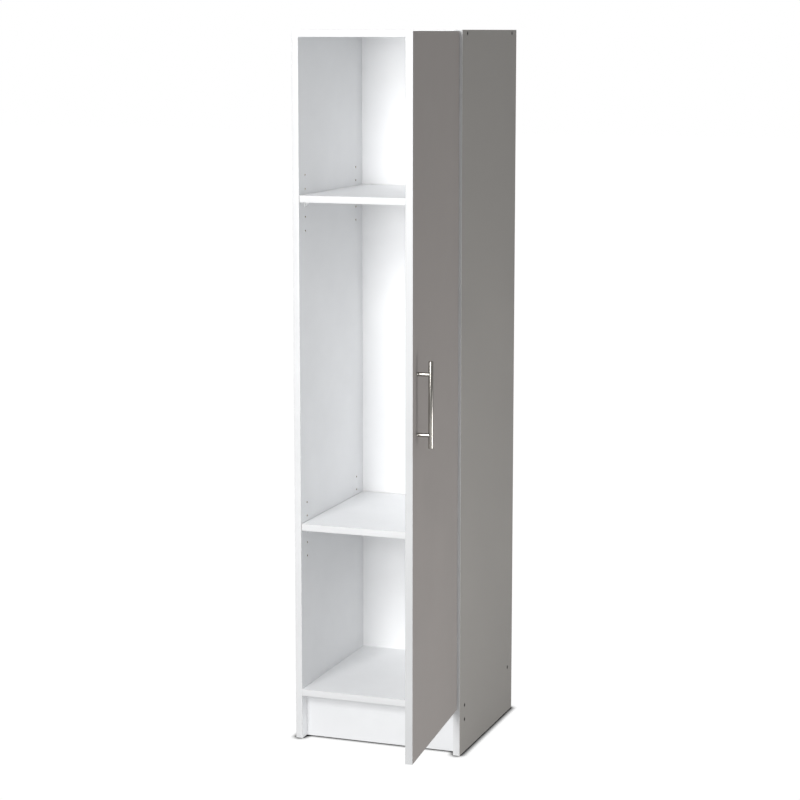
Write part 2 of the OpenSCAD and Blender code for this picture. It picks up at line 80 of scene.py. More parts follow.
def skin(rings):
    """Closed skin over rings of points: quads between neighbouring rings, and a fan from the middle of
    the first ring and of the last one. Seen from the last ring, the points go anticlockwise."""
    count, around = rings.shape[:2]
    points = np.concatenate([rings.reshape(-1, 3), rings[[0, -1]].mean(axis=1)])
    index = np.arange(count * around).reshape(count, around)
    ahead = np.roll(index, -1, axis=1)
    quads = np.stack([index[:-1], ahead[:-1], ahead[1:], index[1:]], axis=-1).reshape(-1, 4)
    first = np.stack([ahead[0], index[0], np.full(around, count * around)], axis=-1)
    last = np.stack([index[-1], ahead[-1], np.full(around, count * around + 1)], axis=-1)
    return points, quads.tolist() + first.tolist() + last.tolist()


def endless_skin(rings):
    """Skin over rings of points that close on themselves both ways, as on a frame."""
    count, around = rings.shape[:2]
    index = np.arange(count * around).reshape(count, around)
    ahead, beyond = np.roll(index, -1, axis=1), np.roll(index, -1, axis=0)
    corner = np.roll(ahead, -1, axis=0)
    quads = np.stack([index, ahead, corner, beyond], axis=-1).reshape(-1, 4)
    return rings.reshape(-1, 3), quads.tolist()


def axes_from(axis):
    """Three unit vectors, as rows: two across the axis, and the axis itself, right-handed."""
    axis = np.asarray(axis, float) / np.linalg.norm(axis)
    side = np.cross(axis, BACK if abs(axis[1]) < 0.9 else RIGHT)
    side /= np.linalg.norm(side)
    return np.stack([side, np.cross(axis, side), axis])


def lathe(profile, axis, around):
    """Turned shape: a profile of (radius, height) rows goes round the axis, so each point is radius
    times the turned side direction plus height times the axis."""
    side, other, along = axes_from(axis)
    angle = np.linspace(0.0, 2 * math.pi, around, endpoint=False)
    out = np.cos(angle)[:, None] * side + np.sin(angle)[:, None] * other
    radius, height = np.asarray(profile, float).T
    return skin(radius[:, None, None] * out + height[:, None, None] * along)


def arc(middle, radius, start, end):
    """Rows on an arc: the middle plus the radius times (cosine, sine) of angles from start to end."""
    angle = np.radians(np.linspace(start, end, ARC_STEPS))
    return np.asarray(middle) + radius * np.stack([np.cos(angle), np.sin(angle)], axis=-1)


def band_outline(width, depth, radius):
    """Outline across an edge band: the glued face at depth 0, and the outer face at full depth, with
    a quarter circle of that radius at its two corners. Anticlockwise rows of (across, depth)."""
    return np.concatenate([
        [[0.0, 0.0], [width, 0.0]],
        arc((width - radius, depth - radius), radius, 0, 90),
        arc((radius, depth - radius), radius, 90, 180),
    ])


def strip(outline, start, across, outward, end):
    """Straight strip: the outline, carried from start to end. A point is the start plus its place
    across, its depth outwards and its share of the way along."""
    start, end, across, outward = (np.asarray(v, float) for v in (start, end, across, outward))
    if np.cross(across, outward) @ (end - start) < 0:
        outline = outline[::-1]
    ring = outline[:, :1] * across + outline[:, 1:] * outward
    return skin(np.stack([start + ring, end + ring]))


def frame_strip(outline, low, high):
    """Strip round a closed door: at each corner of the upright rectangle from low to high, a point is
    the corner, plus its place across along Y, plus its depth along both outward directions."""
    corners = np.array([[low[0], low[2]], [high[0], low[2]], [high[0], high[2]], [low[0], high[2]]])
    outward = np.array([[-1.0, -1.0], [1.0, -1.0], [1.0, 1.0], [-1.0, 1.0]])
    plan = corners[:, None] + outward[:, None] * outline[None, :, 1:]
    across = np.broadcast_to(low[1] + outline[:, 0], plan.shape[:2])
    return endless_skin(np.stack([plan[..., 0], across, plan[..., 1]], axis=-1)[:, ::-1])


def cross_screw(head_r, head_h, shank_r, shank_length, axis):
    """Screw with a cross recess, over a polar grid that runs up the shank, out under the head and in
    over it. The head falls from its middle as an ellipse, and sinks where a point is nearer than half
    an arm to one of the two lines of the cross."""
    side, other, along = axes_from(axis)
    angle = np.linspace(0.0, 2 * math.pi, 64, endpoint=False)
    share = np.linspace(0.99, 0.03, 20)
    reach = np.concatenate([[shank_r, shank_r, head_r, head_r], head_r * share])[:, None]
    dome = head_h * (0.35 + 0.65 * np.sqrt(1 - share ** 2))
    level = np.concatenate([[-shank_length, 0.0, 0.0, 0.3 * head_h], dome])[:, None]
    x, y = reach * np.cos(angle), reach * np.sin(angle)
    near, far = np.minimum(abs(x), abs(y)), np.maximum(abs(x), abs(y))
    half_arm, soft = 0.13 * head_r, 0.025 * head_r
    sunk = 1 / (1 + np.exp((near - half_arm) / soft)) / (1 + np.exp((far - 0.6 * head_r) / soft))
    sunk[:4] = 0.0
    level = level - 0.75 * head_h * sunk * (1 - 0.5 * far / head_r)
    return skin(x[..., None] * side + y[..., None] * other + level[..., None] * along)


def repeated(shape, places):
    """The same shape at every place: its points plus each place, and its faces counted on."""
    points, faces = shape
    places = np.asarray(places, float)
    every = (places[:, None] + points[None]).reshape(-1, 3)
    counted = [[i + k * len(points) for i in face] for k in range(len(places)) for face in faces]
    return every, counted


def piece(name, shape, finish, body, stands_for=(), turn=0.0):
    """A piece of the cabinet from its points and faces, on its body, in the place of CAD nodes."""
    points, faces = shape
    mesh = bpy.data.meshes.new(name)
    mesh.from_pydata(turned(points, turn).tolist(), [], faces)
    mesh.polygons.foreach_set("use_smooth", np.ones(len(mesh.polygons), bool))
    mesh.set_sharp_from_angle(angle=SMOOTH_BELOW)
    mesh.materials.append(finish)
    made = bpy.data.objects.new(name, mesh)
    bpy.context.scene.collection.objects.link(made)
    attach(made, body)
    if stands_for:
        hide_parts(*stands_for)
    return made


# ---- Nodes of the materials ----

def put(tree, kind, inputs=None, **settings):
    """A shader node with its settings. Each input gets a value, or a link if it is given a socket."""
    node = tree.nodes.new("ShaderNode" + kind)
    for key, value in settings.items():
        setattr(node, key, value)
    for key, value in (inputs or {}).items():
        feed(tree, node.inputs[key], value)
    return node


def maths(tree, operation, a, b, clamp=False):
    """The result of a Math node."""
    return put(tree, "Math", {0: a, 1: b}, operation=operation, use_clamp=clamp).outputs[0]


def feed(tree, socket, value):
    """Gives an input a value, or a link if the value is a socket."""
    if isinstance(value, bpy.types.NodeSocket):
        tree.links.new(value, socket)
    else:
        socket.default_value = value


def blend_colours(tree, share, first, second):
    """The result of mixing two colours by a share from 0 to 1."""
    node = put(tree, "Mix", {0: share}, data_type="RGBA")
    feed(tree, node.inputs[6], first)
    feed(tree, node.inputs[7], second)
    return node.outputs[2]


def spread(tree, value, low, high, to_low=0.0, to_high=1.0):
    """A value taken from one range to another, held at its ends."""
    return put(tree, "MapRange", {0: value, 1: low, 2: high, 3: to_low, 4: to_high}, clamp=True).outputs[0]


def noise(tree, vector, scale, detail=2.0, roughness=0.5):
    """Noise from 0 to 1 over a vector."""
    return put(tree, "TexNoise", {
        "Vector": vector, "Scale": scale, "Detail": detail, "Roughness": roughness,
    }).outputs["Fac"]


def group(name, inputs, outputs):
    """An empty node group with named sockets: its tree, what comes in, and what goes out."""
    tree = bpy.data.node_groups.new(name, "ShaderNodeTree")
    for label, kind, value in inputs:
        socket = tree.interface.new_socket(label, in_out="INPUT", socket_type="NodeSocket" + kind)
        if value is not None:
            socket.default_value = value
    for label, kind in outputs:
        tree.interface.new_socket(label, in_out="OUTPUT", socket_type="NodeSocket" + kind)
    return tree, tree.nodes.new("NodeGroupInput").outputs, tree.nodes.new("NodeGroupOutput").inputs


def use(tree, made, inputs):
    """A node group placed in a material, with its own values. Returns its outputs."""
    return put(tree, "Group", inputs, node_tree=made).outputs


def pearl_group():
    """Fine pearl emboss of a coated board: the height of the grain, and a broad faint mottle."""
    tree, given, out = group(
        "pearl_emboss", [("Vector", "Vector", None), ("Grain size", "Float", 0.0007)],
        [("Height", "Float"), ("Mottle", "Float")])
    cells = maths(tree, "DIVIDE", 1.0, given["Grain size"])
    fine = put(tree, "TexVoronoi", {"Vector": given["Vector"], "Scale": cells}, feature="SMOOTH_F1")
    soft = noise(tree, given["Vector"], maths(tree, "MULTIPLY", cells, 0.45), 2.0)
    both = maths(tree, "ADD", maths(tree, "MULTIPLY", fine.outputs["Distance"], 0.6),
                 maths(tree, "MULTIPLY", soft, 0.6))
    tree.links.new(both, out["Height"])
    tree.links.new(noise(tree, given["Vector"], 7.0, 3.0, 0.6), out["Mottle"])
    return tree


def wear_group():
    """Wear along the edges of a box: the second smallest of the three distances to its faces is the
    distance to the nearest edge. The mask is worn where that is under the reach, broken by noise."""
    tree, given, out = group(
        "edge_wear", [("Vector", "Vector", None), ("Middle", "Vector", None),
                      ("Half size", "Vector", None), ("Reach", "Float", 0.002)],
        [("Mask", "Float")])
    away = put(tree, "VectorMath", {0: given["Vector"], 1: given["Middle"]}, operation="SUBTRACT")
    away = put(tree, "VectorMath", {0: away.outputs[0]}, operation="ABSOLUTE")
    gap = put(tree, "VectorMath", {0: given["Half size"], 1: away.outputs[0]}, operation="SUBTRACT")
    gap = put(tree, "VectorMath", {0: gap.outputs[0]}, operation="ABSOLUTE")
    x, y, z = put(tree, "SeparateXYZ", {0: gap.outputs[0]}).outputs
    least = maths(tree, "MINIMUM", maths(tree, "MINIMUM", x, y), z)
    most = maths(tree, "MAXIMUM", maths(tree, "MAXIMUM", x, y), z)
    total = maths(tree, "ADD", maths(tree, "ADD", x, y), z)
    second = maths(tree, "SUBTRACT", maths(tree, "SUBTRACT", total, least), most)
    closeness = maths(tree, "SUBTRACT", 1.0, maths(tree, "DIVIDE", second, given["Reach"]), True)
    broken = spread(tree, noise(tree, given["Vector"], 180.0, 4.0, 0.65), 0.45, 0.7)
    tree.links.new(maths(tree, "MULTIPLY", closeness, broken), out["Mask"])
    return tree


def chipboard_group():
    """Raw chipboard: flakes of wood in browns, with dark gaps between. The browns are darkened to stand for
    the shade inside the shelf-pin bores, as painted shade.
    """
    tree, given, out = group("chipboard", [("Vector", "Vector", None)],
                             [("Color", "Color"), ("Height", "Float")])
    bent = put(tree, "VectorMath", {
        0: put(tree, "TexNoise", {"Vector": given["Vector"], "Scale": 420.0}).outputs["Color"],
        "Scale": 0.0016}, operation="SCALE")
    place = put(tree, "VectorMath", {0: given["Vector"], 1: bent.outputs[0]}, operation="ADD")
    flakes = put(tree, "TexVoronoi", {"Vector": place.outputs[0], "Scale": 520.0})
    tone = put(tree, "SeparateXYZ", {0: flakes.outputs["Color"]}).outputs[0]
    ramp = put(tree, "ValToRGB", {"Fac": tone})
    # Painted shade: the browns are darker than raw board, for the shade inside the bores.
    ramp.color_ramp.elements[0].color = (0.26, 0.155, 0.075, 1)
    ramp.color_ramp.elements[1].color = (0.62, 0.46, 0.28, 1)
    ramp.color_ramp.elements.new(0.5).color = (0.47, 0.32, 0.17, 1)
    gaps = spread(tree, noise(tree, given["Vector"], 900.0, 3.0), 0.36, 0.46)
    shaded = blend_colours(tree, gaps, (0.12, 0.07, 0.035, 1), ramp.outputs["Color"])
    tree.links.new(shaded, out["Color"])
    tree.links.new(maths(tree, "MULTIPLY", gaps, flakes.outputs["Distance"]), out["Height"])
    return tree


def brushed_group():
    """Brushed metal: streaks of noise, drawn out along the axis whose stretch is small."""
    tree, given, out = group(
        "brushed_metal", [("Vector", "Vector", None), ("Stretch", "Vector", None)],
        [("Streak", "Float")])
    drawn = put(tree, "VectorMath", {0: given["Vector"], 1: given["Stretch"]}, operation="MULTIPLY")
    tree.links.new(noise(tree, drawn.outputs[0], 1.0, 4.0, 0.7), out["Streak"])
    return tree


def plating_group():
    """Plated steel: a fine rolled grain, and soft blotches where the plating is thicker."""
    tree, given, out = group("plated_steel", [("Vector", "Vector", None), ("Blotch", "Float", 160.0)],
                             [("Grain", "Float"), ("Blotch", "Float")])
    tree.links.new(noise(tree, given["Vector"], 2600.0, 3.0, 0.6), out["Grain"])
    blotch = spread(tree, noise(tree, given["Vector"], given["Blotch"], 3.0, 0.55), 0.3, 0.7)
    tree.links.new(blotch, out["Blotch"])
    return tree


PEARL = pearl_group()
WEAR = wear_group()
CHIPBOARD_WITH_BORE_SHADE = chipboard_group()
BRUSHED = brushed_group()
PLATING = plating_group()


def new_finish(name, **values):
    """A material with its Principled BSDF: the tree, the shader, and its fixed values set on it."""
    made = bpy.data.materials.new(name)
    made.use_nodes = True
    tree = made.node_tree
    shader = next(n for n in tree.nodes if n.type == "BSDF_PRINCIPLED")
    for key, value in values.items():
        shader.inputs[key.replace("_", " ")].default_value = value
    return made, tree, shader


def own_vector(tree, turn=0.0):
    """Object coordinates, turned back by the angle that the piece is turned by."""
    place = put(tree, "TexCoord").outputs["Object"]
    if not turn:
        return place
    return put(tree, "Mapping", {"Vector": place, "Rotation": (0.0, 0.0, -turn)}).outputs[0]


def bump(tree, height, strength, distance):
    """The normal of a Bump node over a height."""
    return put(tree, "Bump", {"Height": height, "Strength": strength, "Distance": distance}).outputs[0]


# ---- Finishes ----

WHITE = (0.875, 0.883, 0.893)
# Painted shade: the toe kick is the same white board as the rest, toned down to stand for the shade that
# falls on it.
KICK_SHADE_WHITE = (0.71, 0.717, 0.727)
# Painted shade: the sides and the door are white all over, and their outer faces, which face away from the
# lamps, get this grey to stand for the shade on them. The door's grey is a touch warmer.
SIDE_SHADE_GREY = (0.302, 0.289, 0.272)
DOOR_SHADE_GREY = (0.304, 0.280, 0.266)
GRIME = (0.36, 0.34, 0.31)
LACQUER_SHADES = ((0.87, 0.875, 0.885, 1), (0.9, 0.905, 0.91, 1))
FELT_SHADES = ((0.20, 0.105, 0.052, 1), (0.36, 0.215, 0.12, 1))
BOARD_GRAIN = 0.7 * MM
LAMINATE_GRAIN = 0.9 * MM
BAND_GRAIN = 1.2 * MM
SPARK_GRAIN = 0.4 * MM
WEAR_REACH = 2.2 * MM
COATING = 0.25 * MM


def coated(name, box, tint, gloss, turn=0.0, grain=BOARD_GRAIN, depth=0.04 * MM, core=None, wear=0.25,
           crown=False):
    """Coated board: pearl emboss, faint mottle, worn edges, and raw chipboard inside the coating.
    core is the axis through the board's thickness, or None where no raw edge shows. With crown, the
    top edge is coated too."""
    low, high = box
    made, tree, shader = new_finish(name, Specular_IOR_Level=0.45)
    vector = own_vector(tree, turn)
    pearl = use(tree, PEARL, {"Vector": vector, "Grain size": grain})
    worn = use(tree, WEAR, {
        "Vector": vector, "Middle": tuple((low + high) / 2), "Half size": tuple((high - low) / 2),
        "Reach": WEAR_REACH})["Mask"]
    dark = tuple(c * 0.972 for c in tint) + (1.0,)
    light = tuple(min(c * 1.02, 0.91) for c in tint) + (1.0,)
    colour = blend_colours(tree, spread(tree, pearl["Mottle"], 0.3, 0.7), dark, light)
    colour = blend_colours(tree, maths(tree, "MULTIPLY", worn, wear), colour, GRIME + (1.0,))
    rough = spread(tree, pearl["Mottle"], 0.3, 0.7, gloss - 0.04, gloss + 0.05)
    rough = maths(tree, "ADD", rough, maths(tree, "MULTIPLY", worn, 0.2))
    normal = bump(tree, pearl["Height"], 0.35, depth)
    if core is not None:
        place = put(tree, "SeparateXYZ", {0: vector}).outputs[core]
        inside = maths(tree, "MULTIPLY",
                       maths(tree, "GREATER_THAN", place, low[core] + COATING),
                       maths(tree, "LESS_THAN", place, high[core] - COATING))
        if crown:
            height = put(tree, "SeparateXYZ", {0: vector}).outputs[2]
            inside = maths(tree, "MULTIPLY", inside,
                           maths(tree, "LESS_THAN", height, high[AXIS_Z] - 0.2 * MM))
        raw = use(tree, CHIPBOARD_WITH_BORE_SHADE, {"Vector": vector})
        colour = blend_colours(tree, inside, colour, raw["Color"])
        rough = spread(tree, inside, 0.0, 1.0, rough, 0.9)
        raw_normal = bump(tree, raw["Height"], 0.8, 0.4 * MM)
        mixed = put(tree, "Mix", {0: inside}, data_type="VECTOR")
        tree.links.new(normal, mixed.inputs[4])
        tree.links.new(raw_normal, mixed.inputs[5])
        normal = mixed.outputs[1]
    tree.links.new(colour, shader.inputs["Base Color"])
    tree.links.new(rough, shader.inputs["Roughness"])
    tree.links.new(normal, shader.inputs["Normal"])
    return made


def plated(name, tint, gloss, blotch=160.0):
    """Plated steel, with its grain in the normal and its blotches in the tone and the roughness."""
    made, tree, shader = new_finish(name, Metallic=1.0)
    plating = use(tree, PLATING, {"Vector": own_vector(tree), "Blotch": blotch})
    dark, light = tuple(c * 0.82 for c in tint) + (1.0,), tuple(tint) + (1.0,)
    tree.links.new(blend_colours(tree, plating["Blotch"], dark, light), shader.inputs["Base Color"])
    tree.links.new(spread(tree, plating["Blotch"], 0, 1, gloss + 0.1, gloss), shader.inputs["Roughness"])
    tree.links.new(bump(tree, plating["Grain"], 0.3, 0.03 * MM), shader.inputs["Normal"])
    return made


def brushed(name, tint, gloss, stretch):
    """Brushed nickel: streaks in the roughness and the normal, and a slight change of tone."""
    made, tree, shader = new_finish(name, Metallic=1.0, Anisotropic=0.5)
    streaks = use(tree, BRUSHED, {"Vector": own_vector(tree, DOOR_TURN), "Stretch": stretch})
    dark, light = tuple(c * 0.86 for c in tint) + (1.0,), tuple(tint) + (1.0,)
    tree.links.new(blend_colours(tree, spread(tree, streaks["Streak"], 0.3, 0.7), dark, light),
                   shader.inputs["Base Color"])
    tree.links.new(spread(tree, streaks["Streak"], 0.3, 0.7, gloss - 0.06, gloss + 0.1),
                   shader.inputs["Roughness"])
    tree.links.new(bump(tree, streaks["Streak"], 0.25, 0.03 * MM), shader.inputs["Normal"])
    return made


def hardboard(name, box):
    """Back panel: white lacquer on its front, raw brown hardboard with a felted grain behind."""
    made, tree, shader = new_finish(name, Specular_IOR_Level=0.4)
    vector = own_vector(tree)
    pearl = use(tree, PEARL, {"Vector": vector, "Grain size": LAMINATE_GRAIN})
    depth = put(tree, "SeparateXYZ", {0: vector}).outputs[1]
    raw = maths(tree, "GREATER_THAN", depth, float(box[0][1]) + 0.2 * MM)
    fibre = noise(tree, vector, 1500.0, 5.0, 0.7)
    felt = blend_colours(tree, spread(tree, fibre, 0.3, 0.7), *FELT_SHADES)
    white = blend_colours(tree, spread(tree, pearl["Mottle"], 0.3, 0.7), *LACQUER_SHADES)
    tree.links.new(blend_colours(tree, raw, white, felt), shader.inputs["Base Color"])
    tree.links.new(spread(tree, raw, 0, 1, 0.38, 0.8), shader.inputs["Roughness"])
    height = maths(tree, "ADD", maths(tree, "MULTIPLY", pearl["Height"], 0.3),
                   maths(tree, "MULTIPLY", fibre, raw))
    tree.links.new(bump(tree, height, 0.4, 0.1 * MM), shader.inputs["Normal"])
    return made


def moulded(name, tint, gloss):
    """Moulded plastic: a fine spark-eroded grain, and a faint change of tone."""
    made, tree, shader = new_finish(name, Specular_IOR_Level=0.5)
    pearl = use(tree, PEARL, {"Vector": own_vector(tree), "Grain size": SPARK_GRAIN})
    dark, light = tuple(c * 0.95 for c in tint) + (1.0,), tuple(tint) + (1.0,)
    tree.links.new(blend_colours(tree, pearl["Mottle"], dark, light), shader.inputs["Base Color"])
    tree.links.new(spread(tree, pearl["Mottle"], 0.3, 0.7, gloss, gloss + 0.08), shader.inputs["Roughness"])
    tree.links.new(bump(tree, pearl["Height"], 0.3, 0.03 * MM), shader.inputs["Normal"])
    return made


def finish_node(name, finish, bevel=0.0):
    """A CAD node's finish, and a fine bevel on its arrises where it has one."""
    node = nodes[name]
    node.data.materials.clear()
    node.data.materials.append(finish)
    if bevel:
        weld = node.modifiers.new("weld", "WELD")
        weld.merge_threshold = 0.01 * MM
        round_off = node.modifiers.new("arris", "BEVEL")
        round_off.width = bevel
        round_off.segments = 2
        round_off.limit_method = "ANGLE"
        round_off.angle_limit = SMOOTH_BELOW


# ---- Boards ----

for side in ("right", "left"):
    finish_node(f"{side}_side_panel",
                coated(f"{side}_side_melamine", own_box(f"{side}_side_panel"), WHITE, 0.42,
                       core=AXIS_X, crown=True))
    # Painted shade: the grey tone on the outer side faces stands for shade on a white face.
    finish_node(f"{side}_side_laminate",
                coated(f"{side}_side_painted_shade_grey", own_box(f"{side}_side_laminate"), SIDE_SHADE_GREY,
                       0.46, grain=LAMINATE_GRAIN, wear=0.3))
for board in ("top_panel", "bottom_panel", "upper_shelf_panel", "middle_shelf_panel"):
    finish_node(board, coated(f"{board}_melamine", own_box(board), WHITE, 0.42, core=AXIS_Z))
# The toe kick's darker white is painted shade.
finish_node("toe_kick", coated("toe_kick_shaded_melamine", own_box("toe_kick"), KICK_SHADE_WHITE, 0.42, core=AXIS_Y))
finish_node("door_panel", coated("door_melamine", own_box("door_panel", DOOR_TURN), WHITE, 0.42,
                                 turn=DOOR_TURN, core=AXIS_Y))
# Painted shade: the grey on the door's outer face stands for shade on a white face.
finish_node("door_face_laminate",
            coated("door_painted_shade_grey", own_box("door_face_laminate", DOOR_TURN), DOOR_SHADE_GREY, 0.46,
                   turn=DOOR_TURN, grain=LAMINATE_GRAIN, wear=0.3))
finish_node("back_panel", hardboard("white_hardboard", own_box("back_panel")))

# ---- Edge bands ----

# Painted shade: the edge bands are the same white as the boards; their darker tint stands for shade on the
# front edges, and the door's band is darker still.
BAND_SHADE_WHITE = (0.66, 0.664, 0.67)
DOOR_BAND_SHADE_WHITE = (0.53, 0.536, 0.542)
BAND_RADIUS = 0.42 * MM


def band_shaded_finish(node, turn=0.0, tint=BAND_SHADE_WHITE):
    """The plastic of an edge band, worn along its arrises, in a tint darkened as painted shade."""
    return coated(f"{node}_plastic", own_box(node, turn), tint, 0.34, turn=turn, grain=BAND_GRAIN,
                  depth=0.02 * MM, wear=0.2)


def front_band(node, body, along):
    """A band on the front edge of a board, which runs up or to the right."""
    low, high = own_box(node)
    across_axis = AXIS_X if along == AXIS_Z else AXIS_Z
    outline = band_outline(high[across_axis] - low[across_axis], high[1] - low[1], BAND_RADIUS)
    across = np.eye(3)[across_axis]
    start = np.array([low[0], high[1], low[2]])
    end = start + np.eye(3)[along] * (high[along] - low[along])
    return piece(node.replace("edge_band", "rounded_band"), strip(outline, start, across, FRONT, end),
                 band_shaded_finish(node), body, (node,))


front_band("right_side_edge_band", "carcass", AXIS_Z)
front_band("left_side_edge_band", "carcass", AXIS_Z)
front_band("top_edge_band", "carcass", AXIS_X)
front_band("bottom_edge_band", "carcass", AXIS_X)
front_band("upper_shelf_edge_band", "upper_shelf", AXIS_X)
front_band("middle_shelf_edge_band", "middle_shelf", AXIS_X)

door_low, door_high = own_box("door_edge_band", DOOR_TURN)
core_low, core_high = own_box("door_panel", DOOR_TURN)
band_depth = core_low[0] - door_low[0]
door_outline = band_outline(door_high[1] - door_low[1], band_depth, BAND_RADIUS)
panel_low = np.array([core_low[0], door_low[1], core_low[2]])
piece("door_rounded_band", frame_strip(door_outline, panel_low, core_high),
      band_shaded_finish("door_edge_band", DOOR_TURN, DOOR_BAND_SHADE_WHITE), "door",
      ("door_edge_band",), DOOR_TURN)

# ---- Handle ----

# Painted reflection: the nickel's tint is held dark to stand for dark surroundings reflected in the handle.
NICKEL_PAINTED_DARK = (0.39, 0.375, 0.345)
bar_low, bar_high = own_box("handle_bar", DOOR_TURN)
post_low, post_high = own_box("handle_posts", DOOR_TURN)
bar_middle = (bar_low + bar_high) / 2
bar_r = (bar_high[0] - bar_low[0]) / 2
bar_length = bar_high[2] - bar_low[2]
post_r = (post_high[0] - post_low[0]) / 2
end_r = 1.1 * MM
end_hub_r = 0.4 * MM
post_flare = 0.9 * MM
post_rim = 0.8 * MM

bar_profile = np.concatenate([
    [[end_hub_r, 0.0]],
    arc((bar_r - end_r, end_r), end_r, -90, 0),
    arc((bar_r - end_r, bar_length - end_r), end_r, 0, 90),
    [[end_hub_r, bar_length]],
])
nickel_bar = brushed("brushed_nickel_bar", NICKEL_PAINTED_DARK, 0.2, (2600.0, 2600.0, 25.0))
nickel_post = brushed("brushed_nickel_post", NICKEL_PAINTED_DARK, 0.2, (25.0, 2600.0, 25.0))
bar_points, bar_faces = lathe(bar_profile, UP, around=64)
bar_foot = np.array([bar_middle[0], bar_middle[1], bar_low[2]])
piece("turned_handle_bar", (bar_points + bar_foot, bar_faces), nickel_bar, "door",
      ("handle_bar",), DOOR_TURN)


def saddle_post(height):
    """Post of the handle: round, with a small foot, and its end follows the bar. Where the post is at
    a distance x from the bar's middle line, it stops at the height less the root of the bar's radius
    squared less x squared."""
    angle = np.linspace(0.0, 2 * math.pi, 48, endpoint=False)
    share = np.concatenate([[0.0], np.linspace(0.012, 1.0, 24)])[:, None]
    foot = post_flare * np.exp(-share * height / post_flare)
    radius = np.where(share == 0.0, post_r + post_rim, post_r + foot)
    x, z = radius * np.cos(angle), radius * np.sin(angle)
    stop = height - np.sqrt(bar_r ** 2 - np.minimum(abs(x), 0.98 * post_r) ** 2)
    return skin(np.stack([x, -share * stop, z], axis=-1))


face_y = door_low[1]
post_middle_z = (post_low[2] + post_high[2]) / 2
post_rise = (post_high[2] - post_low[2]) / 2 - post_r
post_places = [(bar_middle[0], face_y, post_middle_z + s * post_rise) for s in (-1, 1)]
piece("saddle_handle_posts", repeated(saddle_post(face_y - bar_middle[1]), post_places), nickel_post,
      "door", ("handle_posts",), DOOR_TURN)

# ---- Hinges, screws and nails ----

hinge_steel = plated("nickel_plated_steel", (0.66, 0.655, 0.64), 0.24)
pin_steel = plated("bright_pin_steel", (0.70, 0.70, 0.69), 0.18)
screw_steel = plated("zinc_plated_screws", (0.50, 0.49, 0.47), 0.32, 420.0)
# Painted shade: the side screws are much darker than the other screws, standing for the shade in the gap
# round their heads.
side_screw_shaded_steel = plated("side_screws_painted_dark", (0.16, 0.155, 0.15), 0.4, 420.0)
nail_steel = plated("bright_nails", (0.46, 0.455, 0.44), 0.38, 500.0)
bracket_zinc = plated("galvanised_bracket", (0.58, 0.59, 0.60), 0.34, 260.0)
for node in ("hinge_plates", "hinge_arms", "hinge_cups", "hinge_outer_links", "hinge_inner_links"):
    finish_node(node, hinge_steel, 0.15 * MM)
for node in ("hinge_arm_pins", "hinge_cup_pins"):
    finish_node(node, pin_steel)
for node in ("right_assembly_screws", "left_assembly_screws"):
    finish_node(node, side_screw_shaded_steel)
for node in ("handle_screws", "hinge_arm_screws"):
    finish_node(node, screw_steel, 0.12 * MM)
finish_node("wall_bracket", bracket_zinc, 0.2 * MM)

HINGE_COUNT = 3
PLATE_T = 2 * MM
BRACKET_T = 2 * MM
PLATE_SCREW_R, CUP_SCREW_R, BRACKET_SCREW_R = 2.3 * MM, 1.8 * MM, 2 * MM
PLATE_SCREW_RISE = 16 * MM
CUP_SCREW_RISE = 22.5 * MM


def screw_heights(low, high, rise, head_r):
    """Heights of a pair of screws at each hinge, at that rise above and below its middle."""
    middles = np.linspace(low[2] + rise + head_r, high[2] - rise - head_r, HINGE_COUNT)
    return [middle + sign * rise for middle in middles for sign in (-1, 1)]


low, high = own_box("hinge_plate_screws")
plate_front_x = own_box("hinge_plates")[1][0] - PLATE_T
head_r, head_h = (high[1] - low[1]) / 2, plate_front_x - low[0]
shape = cross_screw(head_r, head_h, PLATE_SCREW_R, high[0] - plate_front_x, LEFT)
heights = screw_heights(low, high, PLATE_SCREW_RISE, head_r)
piece("cross_plate_screws",
      repeated(shape, [(plate_front_x, (low[1] + high[1]) / 2, z) for z in heights]),
      screw_steel, "carcass", ("hinge_plate_screws",))

low, high = own_box("hinge_cup_screws", DOOR_TURN)
cup_face_y = own_box("hinge_cups", DOOR_TURN)[1][1]
head_r, head_h = (high[0] - low[0]) / 2, high[1] - cup_face_y
shape = cross_screw(head_r, head_h, CUP_SCREW_R, cup_face_y - low[1], BACK)
heights = screw_heights(low, high, CUP_SCREW_RISE, head_r)
piece("cross_cup_screws",
      repeated(shape, [((low[0] + high[0]) / 2, cup_face_y, z) for z in heights]),
      screw_steel, "door", ("hinge_cup_screws",), DOOR_TURN)

low, high = own_box("wall_bracket_screws")
bracket_face_z = own_box("top_panel")[0][2] - BRACKET_T
head_r, head_h = (high[1] - low[1]) / 2, bracket_face_z - low[2]
shape = cross_screw(head_r, head_h, BRACKET_SCREW_R, high[2] - bracket_face_z, DOWN)
piece("cross_bracket_screws",
      repeated(shape, [(x, (low[1] + high[1]) / 2, bracket_face_z)
                       for x in (low[0] + head_r, high[0] - head_r)]),
      screw_steel, "carcass", ("wall_bracket_screws",))

NAIL_R = 0.8 * MM
NAIL_HEAD_R = 2.5 * MM
NAIL_POINT = 2 * MM
NAIL_END = 40 * MM
NAILS_UP_A_SIDE = 8
back_low, back_high = own_box("back_panel")
low, high = own_box("back_nails")
head_r, head_h = NAIL_HEAD_R, high[1] - back_high[1]
nail_profile = np.concatenate([
    [[0.05 * MM, low[1] - back_high[1]], [NAIL_R, low[1] - back_high[1] + NAIL_POINT], [NAIL_R, 0.0],
     [head_r, 0.0], [head_r, 0.35 * head_h]],
    [[head_r * math.cos(t), head_h * (0.35 + 0.65 * math.sin(t))] for t in np.linspace(0.2, 1.5, 7)],
])
side_x = high[0] - head_r
side_places = [(x, back_high[1], z) for x in (-side_x, side_x)
               for z in np.linspace(back_low[2] + NAIL_END, back_high[2] - NAIL_END, NAILS_UP_A_SIDE)]
board_x = own_box("top_panel")[1][0] / 3
